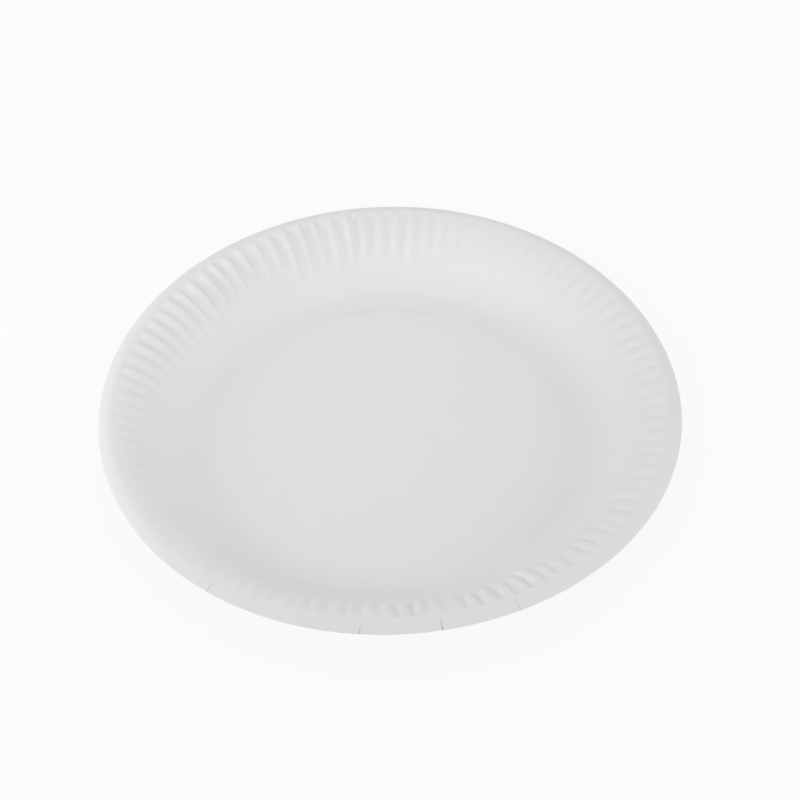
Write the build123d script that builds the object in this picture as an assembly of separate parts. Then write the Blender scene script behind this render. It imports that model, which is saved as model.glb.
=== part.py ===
from build123d import *
import os
from math import comb, cos, pi, radians, sin

import numpy as np

# A round paper plate, pressed in one piece from a single disc of plain board.
# Millimetres. The origin is the centre of the plate on the table it rests on, +Z up.
# The board runs, from the middle outwards: a centre panel pressed slightly upwards, a soft
# ring step, a flat band that rests on the table, a fluted wall that curves up to the crest,
# and a lip that rolls down outside the crest. A few short cracks run in from the lip's edge.

# Overall sizes
outer_diameter = 230.0
crest_height = 18.8  # top of the board above the table where the wall meets the lip
sheet_thickness = 0.4

# Lip, outside the crest
lip_width = 5.4
lip_drop = 2.0
lip_edge_slope = 0.55  # fall over run at the outer edge
lip_roundness = 1 / 3  # share of the lip's width over which each end keeps its own slope

# Wall, from the flat band up to the crest
wall_run = 33.6  # measured level, from the foot of the wall to the crest
foot_fullness = 0.446  # share of the run over which the wall leaves the table level
shoulder_fullness = 0.464  # share of the run over which it levels out under the crest
shoulder_drop = 1.6  # fall over that shoulder

# Centre
rest_band_width = 4.5  # flat band between the ring step and the foot of the wall
step_width = 4.2
panel_lift = 0.3

# Flutes: the tops of their rounded ridges lie in the plain wall, and a sharp valley is pressed
# below it between each two
flute_count = 100
flute_depth = 0.7
flute_start_power = 6  # a higher power keeps the foot of the wall smooth for longer

# Cracks in the lip, by their angle from +X towards +Y
crack_angles = [-126.0, -96.0, -81.0, -66.0, 84.0, 144.0]
crack_length = 5.0
crack_width = 0.3

# Degrees of the surface patches, around the plate and along its section
AROUND_DEGREE = 6
SECTION_DEGREE = 10

outer_radius = outer_diameter / 2
crest_radius = outer_radius - lip_width
foot_radius = crest_radius - wall_run
step_outer_radius = foot_radius - rest_band_width
step_inner_radius = step_outer_radius - step_width
sector_angle = 2 * pi / flute_count

# The section follows the middle of the board's thickness.
middle_low = sheet_thickness / 2
middle_crest = crest_height - sheet_thickness / 2


def bernstein(degree, parameters):
    """The Bernstein polynomials of one degree, a row of values for each parameter."""
    index = np.arange(degree + 1)
    binomials = np.array([comb(degree, int(i)) for i in index])
    t = np.asarray(parameters)[:, None]
    return binomials * t**index * (1 - t) ** (degree - index)


def section_curve(poles):
    """A Bezier curve in the (radius, height) plane: a function to its point and upper normal."""
    poles = np.array(poles)
    degree = len(poles) - 1

    def point_and_normal(s):
        point = bernstein(degree, [s])[0] @ poles
        slope = bernstein(degree - 1, [s])[0] @ np.diff(poles, axis=0)
        run, rise = slope / np.hypot(*slope)
        return point, np.array([-rise, run])

    return point_and_normal


def wall_section():
    """From the foot, level with the table, up to the crest."""
    shoulder = (crest_radius - shoulder_fullness * wall_run, middle_crest - shoulder_drop)
    return section_curve([
        (foot_radius, middle_low),
        (foot_radius + foot_fullness * wall_run, middle_low),
        shoulder,
        (crest_radius, middle_crest),
    ])


def lip_section():
    """From the crest, where it runs on smoothly from the wall, down to the outer edge."""
    crest_slope = shoulder_drop / (shoulder_fullness * wall_run)
    reach = lip_roundness * lip_width
    return section_curve([
        (crest_radius, middle_crest),
        (crest_radius + reach, middle_crest + reach * crest_slope),
        (outer_radius - reach, middle_crest - lip_drop + reach * lip_edge_slope),
        (outer_radius, middle_crest - lip_drop),
    ])


def step_section():
    """From the raised centre panel down to the resting band, level at both ends."""
    return section_curve([
        (step_inner_radius, middle_low + panel_lift),
        (step_inner_radius + step_width / 3, middle_low + panel_lift),
        (step_outer_radius - step_width / 3, middle_low),
        (step_outer_radius, middle_low),
    ])


def flute_lift(u, s):
    """Depth of a flute under the plain wall, as a negative height: none along its ridge
    (u = 0.5), most in the valleys (u = 0 and 1), fading out at both ends of s."""
    ridge = 4 * u * (1 - u)
    deepest = flute_start_power / (flute_start_power + 1)
    peak = deepest**flute_start_power * (1 - deepest)
    return -flute_depth * (1 - ridge) * s**flute_start_power * (1 - s) / peak


def no_lift(u, s):
    return 0.0


def sheet_point(section, lift, u, s, side):
    """A point on the board's upper (side 1) or lower (side -1) face, in the first sector."""
    point, normal = section(s)
    radius, height = point + (side * sheet_thickness / 2 + lift(u, s)) * normal
    angle = u * sector_angle
    return np.array([radius * cos(angle), radius * sin(angle), height])


def patch(surface, u_degree, s_degree):
    """The Bezier face through a grid of points of surface(u, s), with u and s from 0 to 1."""
    u_nodes = (1 - np.cos(pi * np.arange(u_degree + 1) / u_degree)) / 2
    s_nodes = (1 - np.cos(pi * np.arange(s_degree + 1) / s_degree)) / 2
    grid = np.array([[surface(u, s) for s in s_nodes] for u in u_nodes])
    across = np.linalg.inv(bernstein(u_degree, u_nodes))
    along = np.linalg.inv(bernstein(s_degree, s_nodes))
    poles = np.einsum("ai,bj,ijk->abk", across, along, grid)
    return Face.make_bezier_surface([[Vector(*pole) for pole in row] for row in poles])


def outer_edge_point(u, s):
    """The cut edge of the board, from its upper face (s = 0) to its lower face (s = 1)."""
    return sheet_point(lip_section(), no_lift, u, 1.0, 1 - 2 * s)


def sector_faces():
    """Every face of the wall and lip over one flute."""
    faces = [patch(outer_edge_point, AROUND_DEGREE, 1)]
    for section, lift in ((wall_section(), flute_lift), (lip_section(), no_lift)):
        for side in (1, -1):
            faces.append(patch(
                lambda u, s: sheet_point(section, lift, u, s, side),
                AROUND_DEGREE,
                SECTION_DEGREE,
            ))
    return faces


def foot_edge(side):
    """The curve where one sector of the wall meets the flat band."""
    height = middle_low + side * sheet_thickness / 2
    nodes = (1 - np.cos(pi * np.arange(AROUND_DEGREE + 1) / AROUND_DEGREE)) / 2
    points = [sheet_point(wall_section(), flute_lift, u, 0.0, side) for u in nodes]
    poles = np.linalg.inv(bernstein(AROUND_DEGREE, nodes)) @ np.array(points)
    return Edge.make_bezier(*[Vector(x, y, height) for x, y, _ in poles])


def around(shape):
    """The shape repeated once in each flute's sector."""
    return [shape.rotate(Axis.Z, 360 * i / flute_count) for i in range(flute_count)]


def rest_band_face(side):
    """The flat ring from the step to the foot of the wall."""
    height = middle_low + side * sheet_thickness / 2
    hole = Wire.make_circle(step_outer_radius, Plane.XY.offset(height))
    return Face(Wire(around(foot_edge(side))), [hole])


def step_face(side):
    """The soft ring step, as one revolved face."""
    count = SECTION_DEGREE + 1
    nodes = (1 - np.cos(pi * np.arange(count) / SECTION_DEGREE)) / 2
    section = step_section()
    points = [sheet_point(section, no_lift, 0.0, s, side) for s in nodes]
    poles = np.linalg.inv(bernstein(SECTION_DEGREE, nodes)) @ np.array(points)
    return Face.revolve(Edge.make_bezier(*[Vector(*pole) for pole in poles]), 360, Axis.Z)


def centre_face(side):
    """The round, flat centre panel."""
    height = middle_low + panel_lift + side * sheet_thickness / 2
    return Face(Wire.make_circle(step_inner_radius, Plane.XY.offset(height)))


def cracks():
    """Thin blocks that stand in the lip where the cracks are."""
    block = Box(2 * crack_length, crack_width, 2 * crest_height)
    place = Pos(outer_radius, 0, crest_height)
    return [Rot(0, 0, angle) * place * block for angle in crack_angles]


def plate():
    """The whole plate as one solid."""
    faces = [copy for face in sector_faces() for copy in around(face)]
    for side in (1, -1):
        faces += [rest_band_face(side), step_face(side), centre_face(side)]
    sheet = Solid(Shell(faces))
    for crack in cracks():
        sheet = sheet - crack
    return sheet


os.makedirs("parts", exist_ok=True)
export_step(plate(), "parts/plate.step")
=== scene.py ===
import math

import bmesh
import bpy
import numpy as np
from mathutils import Matrix, Vector


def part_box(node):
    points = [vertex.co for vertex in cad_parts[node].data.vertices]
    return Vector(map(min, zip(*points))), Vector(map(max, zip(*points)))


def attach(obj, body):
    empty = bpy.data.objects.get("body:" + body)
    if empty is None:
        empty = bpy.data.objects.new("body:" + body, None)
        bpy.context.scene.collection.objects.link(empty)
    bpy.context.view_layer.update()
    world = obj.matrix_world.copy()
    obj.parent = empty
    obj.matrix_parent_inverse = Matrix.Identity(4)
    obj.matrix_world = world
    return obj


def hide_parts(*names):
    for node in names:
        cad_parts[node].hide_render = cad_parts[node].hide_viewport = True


# A pressed paper plate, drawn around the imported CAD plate. Metres and degrees unless a name
# says otherwise. Angles go round from +X towards +Y. The board is made as one surface through
# the middle of its thickness, from the centre panel out to the lip, and is then thickened.

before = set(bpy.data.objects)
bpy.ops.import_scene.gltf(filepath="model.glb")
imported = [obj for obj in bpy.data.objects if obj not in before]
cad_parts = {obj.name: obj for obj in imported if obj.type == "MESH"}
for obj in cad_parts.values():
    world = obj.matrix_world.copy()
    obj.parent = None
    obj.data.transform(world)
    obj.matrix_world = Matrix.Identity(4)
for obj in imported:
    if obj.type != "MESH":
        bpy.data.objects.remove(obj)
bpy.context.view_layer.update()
cad_low, cad_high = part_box("plate")

MM = 0.001

# Sizes of the section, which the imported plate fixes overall
BOARD = 0.4 * MM
OUTER_RADIUS = (cad_high.x - cad_low.x) / 2 - 0.10 * MM  # the lip's cut edge leans outwards
CREST_HEIGHT = cad_high.z
LIP_WIDTH = 5.4 * MM
LIP_DROP = 2.0 * MM
LIP_EDGE_SLOPE = 0.55
LIP_ROUNDNESS = 1 / 3
WALL_RUN = 33.6 * MM
REST_BAND_WIDTH = 4.5 * MM
STEP_WIDTH = 4.2 * MM
PANEL_LIFT = 0.3 * MM
PANEL_TILT = 0.20 * MM  # how far the panel's rim rises on its high side and sinks opposite
PANEL_HIGH_SIDE = 62
FOOT_FULLNESS = 0.446
SHOULDER_FULLNESS = 0.464
SHOULDER_DROP = 1.6 * MM

CREST_RADIUS = OUTER_RADIUS - LIP_WIDTH
FOOT_RADIUS = CREST_RADIUS - WALL_RUN
STEP_OUTER = FOOT_RADIUS - REST_BAND_WIDTH
STEP_INNER = STEP_OUTER - STEP_WIDTH
MIDDLE_LOW = BOARD / 2
MIDDLE_CREST = CREST_HEIGHT - BOARD / 2

# Rings and columns of the mesh
PANEL_RINGS = (0.12, 0.3, 0.5, 0.7, 0.86, 0.96)  # shares of the way out to the ring step
STEP_POINTS = 9
BAND_RINGS = (0.3, 0.6, 0.85)  # shares of the way across the resting band
WALL_POINTS = 41
LIP_POINTS = 8
ACROSS = (0.0, 0.10, 0.21, 0.32, 0.43, 0.54, 0.65, 0.77, 0.89)  # columns over one flute
COARSENING = 3  # the centre has one column for this many of the wall's
SHARP_ANGLE = 45  # edges of the mesh that turn by more are drawn sharp

# Flutes: rounded ridges inside the crest, parted by valleys pressed into the wall
FLUTE_COUNT = 100
VALLEY_DEPTH = 0.35 * MM
RIDGE_RISE = 0.26 * MM  # the ridges stand this far above the plain wall
DEPTH_SPREAD = 0.3  # share of the depth or rise, either way
DEEP_SIDES = (  # direction, half width, and the share of the depth and rise that is added there
    (-70, 42, 1.3),
    (116, 46, 2.1),
    (-155, 26, -0.5),
    (64, 14, -0.6),
)
PITCH_SPREAD = 0.10  # share of a pitch that a valley may stand off its place
CROWDING = 0.03  # share by which the pitch shrinks on one side and grows on the other
CROWDED_SIDE = -80
LEAN = 0.12  # share of a pitch that a valley's top may stand off, either way
LEAN_RISE = 0.3  # share of the wall's run over which the lean sets in
TOP_GAP = 0.2 * MM  # smooth board between the flutes' outer ends and the crest
TOP_GAP_SPREAD = 0.5 * MM
VALLEY_TOP_FALL = 1.4 * MM  # length over which a valley reaches its depth at its outer end
RIDGE_TOP_FALL = 2.4 * MM
FLUTE_LENGTH = 13.2 * MM
LENGTH_SPREAD = 0.16  # share of the length, either way
LONG_SIDES = ((120, 55, 0.7),)  # as for the deep sides, but a share of the length
INNER_FADE = 0.5  # share of the length over which a flute dies out at its inner end
RIDGE_SHARPNESS = 1.0  # 1 is an even wave; above it the ridges are narrower than the valleys
RIDGE_SHARPNESS_EXTRA = 0.35  # added on the sharpest side, and taken off opposite
SHARPEST_SIDE = 175
FLUTE_SEED = 11

# Larger folds, as (direction, times the usual height, times the usual length)
FOLDS = ((-63, 1.6, 1.5), (-30, 1.2, 1.25), (158, 1.2, 1.1))

# Slow departures from a true circle, as (waves round the rim, size, direction of the first)
RIM_OUTWARD = ((2, 0.57 * MM, 77), (3, 0.59 * MM, 98), (4, 0.15 * MM, -25))
RIM_UPWARD = ((1, 0.11 * MM, 27), (2, 0.20 * MM, 55))

# Cracks in the lip: direction, length, width at the edge, and how far the side that lies
# further round stands above the other
CRACKS = (
    (-126, 4.2 * MM, 0.18 * MM, -0.12 * MM),
    (-96, 4.0 * MM, 0.16 * MM, 0.34 * MM),
    (-81, 5.0 * MM, 0.36 * MM, -0.40 * MM),
    (-66, 4.8 * MM, 0.22 * MM, -0.30 * MM),
    (84, 4.2 * MM, 0.18 * MM, -0.16 * MM),
    (144, 4.6 * MM, 0.12 * MM, 0.36 * MM),
)
CRACK_BACKING = 0.15 * MM  # how far the fibres under a crack, coloured dark as painted shade, reach into the board
CRACK_REACH = 3.5 * MM  # how far round the lip a crack's raised side eases back
CRACK_RAGGEDNESS = 0.12 * MM  # how far a crack strays from a straight line, either way
CRACK_SEED = 5

# The plate's materials, by their place on the mesh; the food side is the first
UNDERSIDE = 1
CUT_EDGE = 2
# the fibres under the cracks, coloured dark grey as the cracks' painted shade
CRACK_SHADE_FIBRES = 3

# Camera
CAMERA_DISTANCE = 0.9545
CAMERA_ELEVATION = 47.17
CAMERA_AIM = Vector((0.0043, 0.0179, 0.0))
CAMERA_ROLL = -0.79
LENS_MM = 107.45
SENSOR_MM = 36

# Floor and room
FLOOR_HALF = 3.0
FLOOR_GAP = 0.05 * MM  # the floor lies this far under the plate, so the two never share a plane
FLOOR_WHITENESS = 0.9  # share of plain white in what the camera sees of the floor
AMBIENT = 0.31  # brightness of the room's even light


def smooth(low, high, x):
    """0 below low, 1 above high, and a smooth rise between them."""
    t = np.clip((x - low) / (high - low), 0, 1)
    return t * t * (3 - 2 * t)


def bezier(poles, t):
    """Points of a cubic Bezier curve in the (radius, height) plane."""
    poles = np.array(poles)
    t = np.asarray(t)[:, None]
    weights = ((1 - t) ** 3, 3 * t * (1 - t) ** 2, 3 * t * t * (1 - t), t**3)
    return sum(w * p for w, p in zip(weights, poles))


def wall_section():
    """The plain wall, from its foot to the crest."""
    t = np.linspace(0, 1, WALL_POINTS)
    return bezier([
        (FOOT_RADIUS, MIDDLE_LOW),
        (FOOT_RADIUS + FOOT_FULLNESS * WALL_RUN, MIDDLE_LOW),
        (CREST_RADIUS - SHOULDER_FULLNESS * WALL_RUN, MIDDLE_CREST - SHOULDER_DROP),
        (CREST_RADIUS, MIDDLE_CREST),
    ], t)


def lip_section():
    """The turned-down lip, without the crest point, which the wall has already."""
    crest_slope = SHOULDER_DROP / (SHOULDER_FULLNESS * WALL_RUN)
    reach = LIP_ROUNDNESS * LIP_WIDTH
    t = np.linspace(0, 1, LIP_POINTS)
    return bezier([
        (CREST_RADIUS, MIDDLE_CREST),
        (CREST_RADIUS + reach, MIDDLE_CREST + reach * crest_slope),
        (OUTER_RADIUS - reach, MIDDLE_CREST - LIP_DROP + reach * LIP_EDGE_SLOPE),
        (OUTER_RADIUS, MIDDLE_CREST - LIP_DROP),
    ], t)[1:]


def centre_section():
    """Panel, ring step and resting band, from a small first ring outwards."""
    panel = [(share * STEP_INNER, MIDDLE_LOW + PANEL_LIFT) for share in PANEL_RINGS]
    t = np.linspace(0, 1, STEP_POINTS)
    step = bezier([
        (STEP_INNER, MIDDLE_LOW + PANEL_LIFT),
        (STEP_INNER + STEP_WIDTH / 3, MIDDLE_LOW + PANEL_LIFT),
        (STEP_OUTER - STEP_WIDTH / 3, MIDDLE_LOW),
        (STEP_OUTER, MIDDLE_LOW),
    ], t)
    band = [(STEP_OUTER + share * REST_BAND_WIDTH, MIDDLE_LOW) for share in BAND_RINGS]
    return np.array(panel + step.tolist() + band)


def upper_normals(section):
    """The upward normal of the section at each of its points."""
    run = np.gradient(section, axis=0)
    run /= np.linalg.norm(run, axis=1)[:, None]
    return np.stack([-run[:, 1], run[:, 0]], 1)


def bumps(sides, angle):
    """What the sides add at each angle: each is a soft bump of a given half width and size."""
    total = np.zeros_like(angle)
    for direction, half_width, size in sides:
        away = np.degrees(np.angle(np.exp(1j * (angle - math.radians(direction)))))
        total += size * np.exp(-((away / half_width) ** 2))
    return total


class Flutes:
    """The irregular ridges round the wall. Flute i lies between valley i and valley i + 1."""

    def __init__(self, seed):
        draw = np.random.RandomState(seed)
        n = FLUTE_COUNT

        def spread():
            return draw.uniform(-1, 1, n)

        pitch = 2 * math.pi / n
        place = pitch * (np.arange(n) + spread() * PITCH_SPREAD)
        self.valley = place - CROWDING * np.sin(place - math.radians(CROWDED_SIDE))
        self.lean = pitch * spread() * LEAN
        deep = 1 + bumps(DEEP_SIDES, self.valley)
        self.depth = VALLEY_DEPTH * deep * (1 + spread() * DEPTH_SPREAD)
        self.rise = RIDGE_RISE * deep * (1 + spread() * DEPTH_SPREAD)
        length = FLUTE_LENGTH * (1 + bumps(LONG_SIDES, self.valley))
        self.valley_length = length * (1 + spread() * LENGTH_SPREAD)
        self.ridge_length = length * (1 + spread() * LENGTH_SPREAD)
        for direction, height, stretch in FOLDS:
            off = np.angle(np.exp(1j * (self.valley - math.radians(direction))))
            fold = int(np.argmin(np.abs(off)))
            self.rise[fold] *= height
            self.depth[fold] *= height
            self.ridge_length[fold] *= stretch
            self.valley_length[fold] *= stretch
        self.valley_top = CREST_RADIUS - TOP_GAP + spread() * TOP_GAP_SPREAD
        self.ridge_top = CREST_RADIUS - TOP_GAP + spread() * TOP_GAP_SPREAD
        side = np.cos(self.valley - math.radians(SHARPEST_SIDE))
        self.sharpness = RIDGE_SHARPNESS + RIDGE_SHARPNESS_EXTRA * side

    def columns(self):
        """For each column of the wall: its flute, and its share of the way across it."""
        flute = np.repeat(np.arange(FLUTE_COUNT), len(ACROSS))
        across = np.tile(ACROSS, FLUTE_COUNT)
        return flute, across

    def angles(self, radius, flute, across):
        """The columns' angles at one radius. The valleys lean, so they change with radius."""
        up = (radius - FOOT_RADIUS) / WALL_RUN
        half_way = 0.5  # a valley leans one way below here, and the other way above
        drift = self.lean * (min(up, 1.0) - half_way) / half_way * smooth(0.0, LEAN_RISE, up)
        start = self.valley + drift
        after = np.roll(start, -1)
        after[-1] += 2 * math.pi
        return start[flute] + across * (after - start)[flute]

    def lift(self, radius, flute, across):
        """How far each column lies above the plain wall at one radius; a valley lies below."""
        ridge = ((1 - np.cos(2 * math.pi * across)) / 2) ** self.sharpness[flute]
        valley = along(radius, self.valley_top, self.valley_length, VALLEY_TOP_FALL) * self.depth
        rise = along(radius, self.ridge_top, self.ridge_length, RIDGE_TOP_FALL) * self.rise
        between = valley[flute] * (1 - across) + np.roll(valley, -1)[flute] * across
        return rise[flute] * ridge - between * (1 - ridge)


def along(radius, top, length, top_fall):
    """How much of a flute there is at one radius: it fades in from its foot and ends at its top."""
    start = top - length
    fade_in = smooth(start, start + length * INNER_FADE, radius)
    return fade_in * (1 - smooth(top - top_fall, top, radius))


def waves(terms, angle):
    """The sum of slow waves round the rim."""
    total = np.zeros_like(angle)
    for count, size, direction in terms:
        total += size * np.cos(count * (angle - math.radians(direction)))
    return total


def ring_points(radius, height, normal, angle, lift):
    """One ring of the board, with the flutes' lift, the rim's slow warp and the panel's tilt."""
    share = float(smooth(FOOT_RADIUS, CREST_RADIUS, radius))
    raised = (height - MIDDLE_LOW) / PANEL_LIFT * PANEL_TILT if radius < STEP_OUTER else 0.0
    tilt = raised * radius / STEP_INNER * np.cos(angle - math.radians(PANEL_HIGH_SIDE))
    r = radius + lift * normal[0] + share * waves(RIM_OUTWARD, angle)
    z = height + lift * normal[1] + share * waves(RIM_UPWARD, angle) + tilt
    return np.stack([r * np.cos(angle), r * np.sin(angle), z], 1)


def plate_surface():
    """Vertices and faces of the board's middle surface, and the strips of fibre under its cracks,
    which carry painted shade.
    """
    flutes = Flutes(FLUTE_SEED)
    flute, across = flutes.columns()
    columns = len(flute)
    coarse = columns // COARSENING
    centre = centre_section()
    rim = np.concatenate([wall_section(), lip_section()])
    normals = upper_normals(rim)
    points = [np.array([[0, 0, MIDDLE_LOW + PANEL_LIFT]])]
    faces = []

    # Centre: its fewer columns line up with some of the wall's
    even = flutes.angles(FOOT_RADIUS, flute, across)[::COARSENING]
    for radius, height in centre:
        points.append(ring_points(radius, height, (0, 1), even, 0))
    first = 1
    for c in range(coarse):
        faces.append((0, first + c, first + (c + 1) % coarse))
    for ring in range(len(centre) - 1):
        a = first + ring * coarse
        b = a + coarse
        for c in range(coarse):
            d = (c + 1) % coarse
            faces.append((a + c, b + c, b + d, a + d))

    # Wall and lip
    rim_start = first + len(centre) * coarse
    for (radius, height), normal in zip(rim, normals):
        angle = flutes.angles(radius, flute, across)
        lift = flutes.lift(radius, flute, across)
        points.append(ring_points(radius, height, normal, angle, lift))
    inner = rim_start - coarse
    for c in range(coarse):
        d = (c + 1) % coarse
        outer = [rim_start + (COARSENING * c + k) % columns for k in range(COARSENING + 1)]
        faces.append((inner + c, *outer, inner + d))
    vertices = np.concatenate(points)
    rim_faces = []
    for ring in range(len(rim) - 1):
        a = rim_start + ring * columns
        b = a + columns
        for c in range(columns):
            d = (c + 1) % columns
            rim_faces.append([a + c, b + c, b + d, a + d])
    vertices, crack_shade_strips = cut_cracks(vertices, rim_faces, rim, rim_start, columns)
    return vertices, faces + [tuple(f) for f in rim_faces], crack_shade_strips


def cut_cracks(vertices, rim_faces, rim, rim_start, columns):
    """Opens each crack along the nearest column. Returns the vertices, and for each crack the
    pairs of points that its fibre strip spans, which is painted dark as the crack's shade."""
    draw = np.random.RandomState(CRACK_SEED)
    added = []
    edge_ring = rim_start + (len(rim) - 1) * columns
    edge = vertices[edge_ring:edge_ring + columns]
    edge_angle = np.arctan2(edge[:, 1], edge[:, 0])
    crack_shade_strips = []
    for direction, length, width, step in CRACKS:
        off = np.angle(np.exp(1j * (edge_angle - math.radians(direction))))
        column = int(np.argmin(np.abs(off)))
        rings = [k for k, (radius, _) in enumerate(rim) if radius > OUTER_RADIUS - length]
        twin = {}
        strip = []
        for k in rings:
            share = (rim[k][0] - (OUTER_RADIUS - length)) / length
            row = rim_start + k * columns
            around = vertices[row:row + columns].copy()
            angle = np.arctan2(around[:, 1], around[:, 0])
            away = np.angle(np.exp(1j * (angle - angle[column]))) * rim[k][0]
            ease = np.exp(-((away / CRACK_REACH) ** 2))
            ragged = draw.uniform(-1, 1) * CRACK_RAGGEDNESS
            side = np.array([-math.sin(angle[column]), math.cos(angle[column]), 0])
            vertices[row:row + columns, 2] += np.sign(away) * ease * share * step / 2
            old = row + column
            here = around[column] + side * ragged
            open_by = side * width / 2 * share + np.array([0, 0, step / 2 * share])
            vertices[old] = here - open_by
            twin[old] = len(vertices) + len(added)
            added.append(here + open_by)
            into = side * CRACK_BACKING
            strip.append((here - open_by - into, here + open_by + into))
        # Faces on the side further round take the new copies of the crack's vertices.
        for k in range(len(rim) - 1):
            face = rim_faces[k * columns + column]
            face[:] = [twin.get(v, v) for v in face]
        crack_shade_strips.append(strip)
    return np.concatenate([vertices, np.array(added)]), crack_shade_strips


def add_crack_shade_fibres(mesh, crack_shade_strips):
    """The inner plies that still hold under each crack, as a narrow strip inside the board,
    coloured dark as painted shade in the crack.
    """
    work = bmesh.new()
    work.from_mesh(mesh)
    for strip in crack_shade_strips:
        pairs = [[work.verts.new(point) for point in pair] for pair in strip]
        for (a, b), (c, d) in zip(pairs, pairs[1:]):
            work.faces.new((a, c, d, b)).material_index = CRACK_SHADE_FIBRES
    work.to_mesh(mesh)
    work.free()


def build_plate():
    """The thickened board as one mesh object: upper face, underside and cut edge."""
    vertices, faces, crack_shade_strips = plate_surface()
    mesh = bpy.data.meshes.new("pressed_plate")
    mesh.from_pydata(vertices.tolist(), [], faces)
    mesh.update()
    plate = bpy.data.objects.new("pressed_plate", mesh)
    bpy.context.scene.collection.objects.link(plate)
    for make in (food_side_material, underside_material, cut_edge_material, crack_shade_fibre_material):
        mesh.materials.append(make())
    thicken = plate.modifiers.new("board", "SOLIDIFY")
    thicken.thickness = BOARD
    thicken.offset = 0
    thicken.use_even_offset = True
    thicken.material_offset = UNDERSIDE
    thicken.material_offset_rim = CUT_EDGE
    depsgraph = bpy.context.evaluated_depsgraph_get()
    solid = bpy.data.meshes.new_from_object(plate.evaluated_get(depsgraph))
    plate.modifiers.clear()
    plate.data = solid
    solid.name = "pressed_plate"
    add_crack_shade_fibres(solid, crack_shade_strips)
    solid.shade_smooth()
    solid.set_sharp_from_angle(angle=math.radians(SHARP_ANGLE))
    return plate


class Nodes:
    """A short way to write a material's nodes."""

    def __init__(self, name):
        self.material = bpy.data.materials.new(name)
        self.material.use_nodes = True
        self.tree = self.material.node_tree
        self.shader = self.tree.nodes["Principled BSDF"]

    def add(self, kind, inputs=None, **settings):
        """A new node. An input is linked where a socket is given, and set where a value is."""
        node = self.tree.nodes.new(kind)
        for key, value in settings.items():
            setattr(node, key, value)
        for key, value in (inputs or {}).items():
            if isinstance(value, bpy.types.NodeSocket):
                self.tree.links.new(value, node.inputs[key])
            else:
                node.inputs[key].default_value = value
        return node

    def noise(self, size, detail, roughness=0.5):
        """Noise whose features are about the given size, from the object's own coordinates."""
        place = self.add("ShaderNodeTexCoord").outputs["Object"]
        settings = {"Vector": place, "Scale": 1 / size, "Detail": detail, "Roughness": roughness}
        return self.add("ShaderNodeTexNoise", settings).outputs["Fac"]

    def between(self, value, low, high):
        """Spreads a noise value, which mostly stays within 0.3 to 0.7, from low to high."""
        limits = {"Value": value, "From Min": 0.3, "From Max": 0.7, "To Min": low, "To Max": high}
        return self.add("ShaderNodeMapRange", limits).outputs["Result"]

    def blend(self, factor, one, other):
        """A mix of two colours."""
        node = self.add("ShaderNodeMix", data_type="RGBA")
        self.tree.links.new(factor, node.inputs["Factor"])
        node.inputs["A"].default_value = (*one, 1)
        node.inputs["B"].default_value = (*other, 1)
        return node.outputs["Result"]

    def bump(self, height, depth, distance, under=None):
        """Surface relief from a noise value, over an earlier relief if one is given."""
        inputs = {"Height": height, "Strength": depth, "Distance": distance}
        if under is not None:
            inputs["Normal"] = under
        return self.add("ShaderNodeBump", inputs).outputs["Normal"]

    def connect(self, value, socket):
        self.tree.links.new(value, self.shader.inputs[socket])


def grey(value):
    return (value, value, value)


def food_side_material():
    """White coated board: smooth, slightly satin, with faint clouds and a fine fibre grain."""
    n = Nodes("board_food_side")
    clouds = n.noise(9 * MM, 3, 0.55)
    colour = n.blend(n.between(clouds, 0, 1), grey(0.804), grey(0.806))
    n.connect(colour, "Base Color")
    fibres = n.noise(0.35 * MM, 4, 0.6)
    n.connect(n.between(fibres, 0.46, 0.58), "Roughness")
    n.shader.inputs["Specular IOR Level"].default_value = 0.4
    slow = n.bump(n.noise(2.4 * MM, 3), 0.25, 0.03 * MM)
    n.connect(n.bump(fibres, 0.3, 0.01 * MM, slow), "Normal")
    return n.material


def underside_material():
    """The uncoated back of the board: rougher, and a shade less white."""
    n = Nodes("board_underside")
    clouds = n.noise(5 * MM, 4, 0.6)
    n.connect(n.blend(n.between(clouds, 0, 1), grey(0.755), grey(0.785)), "Base Color")
    fibres = n.noise(0.45 * MM, 5, 0.65)
    n.connect(n.between(fibres, 0.72, 0.86), "Roughness")
    n.shader.inputs["Specular IOR Level"].default_value = 0.25
    n.connect(n.bump(fibres, 0.5, 0.02 * MM), "Normal")
    return n.material


def cut_edge_material():
    """The die-cut edge, where the board's fibres show."""
    n = Nodes("board_cut_edge")
    layers = n.noise(0.25 * MM, 4, 0.7)
    n.connect(n.blend(n.between(layers, 0, 1), grey(0.70), grey(0.77)), "Base Color")
    n.shader.inputs["Roughness"].default_value = 0.9
    n.shader.inputs["Specular IOR Level"].default_value = 0.2
    n.connect(n.bump(layers, 0.6, 0.03 * MM), "Normal")
    return n.material


def crack_shade_fibre_material():
    """Soft fibres inside a crack, coloured dark grey as the crack's painted shade."""
    n = Nodes("board_crack_shade_fibres")
    tufts = n.noise(0.2 * MM, 3, 0.7)
    # dark grey: painted shade standing in for the crack's shadow
    n.connect(n.blend(n.between(tufts, 0, 1), grey(0.34), grey(0.46)), "Base Color")
    n.shader.inputs["Roughness"].default_value = 1.0
    n.shader.inputs["Specular IOR Level"].default_value = 0.1
    n.connect(n.bump(tufts, 0.8, 0.05 * MM), "Normal")
    return n.material


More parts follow.
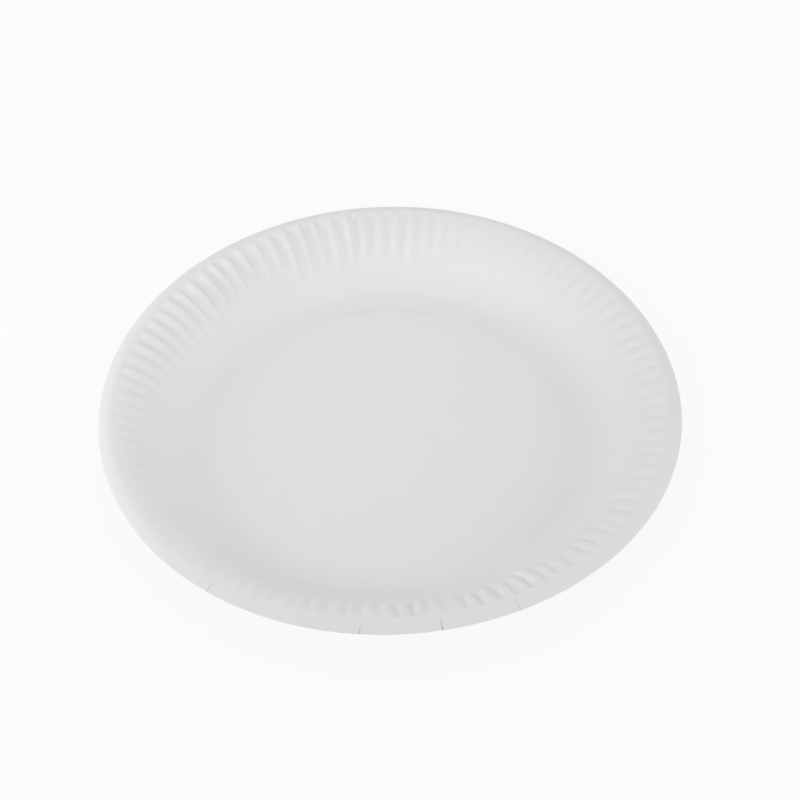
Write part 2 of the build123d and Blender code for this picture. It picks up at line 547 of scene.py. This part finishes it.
def floor_material():
    """Pale matt floor. The camera sees it nearly white, with the plate's shadow still on it."""
    n = Nodes("studio_floor")
    n.shader.inputs["Base Color"].default_value = (*grey(0.8), 1)
    n.shader.inputs["Roughness"].default_value = 0.9
    n.shader.inputs["Specular IOR Level"].default_value = 0.0
    white = n.add("ShaderNodeEmission", {"Color": (1, 1, 1, 1), "Strength": 1.0})
    path = n.add("ShaderNodeLightPath").outputs
    rays = {0: path["Is Camera Ray"], 1: path["Is Glossy Ray"]}
    seen = n.add("ShaderNodeMath", rays, operation="MAXIMUM")
    rays = {0: seen.outputs[0], 1: path["Is Transmission Ray"]}
    seen = n.add("ShaderNodeMath", rays, operation="MAXIMUM")
    whiteness = {0: seen.outputs[0], 1: FLOOR_WHITENESS}
    share = n.add("ShaderNodeMath", whiteness, operation="MULTIPLY")
    mix = n.add("ShaderNodeMixShader", {0: share.outputs[0]})
    n.tree.links.new(n.shader.outputs["BSDF"], mix.inputs[1])
    n.tree.links.new(white.outputs["Emission"], mix.inputs[2])
    out = n.tree.nodes["Material Output"]
    n.tree.links.new(mix.outputs["Shader"], out.inputs["Surface"])
    return n.material


def build_floor():
    signs = ((-1, -1), (1, -1), (1, 1), (-1, 1))
    corners = [(x * FLOOR_HALF, y * FLOOR_HALF, -FLOOR_GAP) for x, y in signs]
    mesh = bpy.data.meshes.new("studio_floor")
    mesh.from_pydata(corners, [], [(0, 1, 2, 3)])
    mesh.materials.append(floor_material())
    floor = bpy.data.objects.new("studio_floor", mesh)
    bpy.context.scene.collection.objects.link(floor)
    return floor


def aimed(place, target, roll=0.0):
    """A matrix at place whose -Z looks at target, turned by roll degrees about that line."""
    forward = (target - place).normalized()
    level = forward.cross(Vector((0, 0, 1))).normalized()
    upright = level.cross(forward)
    turn = math.radians(roll)
    right = level * math.cos(turn) + upright * math.sin(turn)
    top = upright * math.cos(turn) - level * math.sin(turn)
    matrix = Matrix((right, top, -forward)).transposed().to_4x4()
    matrix.translation = place
    return matrix


def from_centre(azimuth, elevation, distance):
    """A place seen from the plate's centre: azimuth 0 is towards the camera, 90 is right."""
    a = math.radians(azimuth)
    e = math.radians(elevation)
    return distance * Vector((math.sin(a) * math.cos(e), -math.cos(a) * math.cos(e), math.sin(e)))


def build_camera():
    data = bpy.data.cameras.new("camera")
    data.lens = LENS_MM
    data.sensor_width = SENSOR_MM
    data.clip_start = 0.01
    data.clip_end = 20
    camera = bpy.data.objects.new("camera", data)
    bpy.context.scene.collection.objects.link(camera)
    place = from_centre(0, CAMERA_ELEVATION, CAMERA_DISTANCE)
    camera.matrix_world = aimed(place, CAMERA_AIM, CAMERA_ROLL)
    bpy.context.scene.camera = camera


def softbox(name, azimuth, elevation, distance, size, watts):
    """A round soft light that looks at the plate's centre."""
    data = bpy.data.lights.new(name, "AREA")
    data.shape = "DISK"
    data.size = size
    data.energy = watts
    lamp = bpy.data.objects.new(name, data)
    bpy.context.scene.collection.objects.link(lamp)
    lamp.matrix_world = aimed(from_centre(azimuth, elevation, distance), Vector((0, 0, 0)))


def build_lights():
    softbox("key_front_left", -45, 36, 2.2, 1.2, 12.8)
    softbox("fill_front_right", 45, 25, 1.4, 0.9, 5.1)
    softbox("fill_right", 98, 23, 1.4, 0.9, 2.9)
    softbox("low_left", -92, 15, 0.455, 0.25, 0.58)
    softbox("low_back", 174, 20, 1.6, 1.0, 2.7)
    softbox("top_back", 180, 70, 0.5, 0.3, 0.46)


def build_world():
    """Even, dim light all round. The camera and glossy rays see plain white instead."""
    world = bpy.data.worlds.new("studio")
    bpy.context.scene.world = world
    world.use_nodes = True
    tree = world.node_tree
    background = tree.nodes["Background"]
    background.inputs["Color"].default_value = (1, 1, 1, 1)
    background.inputs["Strength"].default_value = AMBIENT
    white = tree.nodes.new("ShaderNodeBackground")
    white.inputs["Strength"].default_value = 1.0
    white.inputs["Color"].default_value = (1, 1, 1, 1)
    path = tree.nodes.new("ShaderNodeLightPath").outputs
    mix = tree.nodes.new("ShaderNodeMixShader")
    seen = tree.nodes.new("ShaderNodeMath")
    seen.operation = "MAXIMUM"
    tree.links.new(path["Is Camera Ray"], seen.inputs[0])
    tree.links.new(path["Is Glossy Ray"], seen.inputs[1])
    tree.links.new(seen.outputs[0], mix.inputs[0])
    tree.links.new(background.outputs[0], mix.inputs[1])
    tree.links.new(white.outputs[0], mix.inputs[2])
    tree.links.new(mix.outputs[0], tree.nodes["World Output"].inputs["Surface"])


build_camera()
build_world()
build_lights()
build_floor()

plate = build_plate()
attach(plate, "root")
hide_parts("plate")

bpy.context.scene.view_settings.view_transform = "Standard"
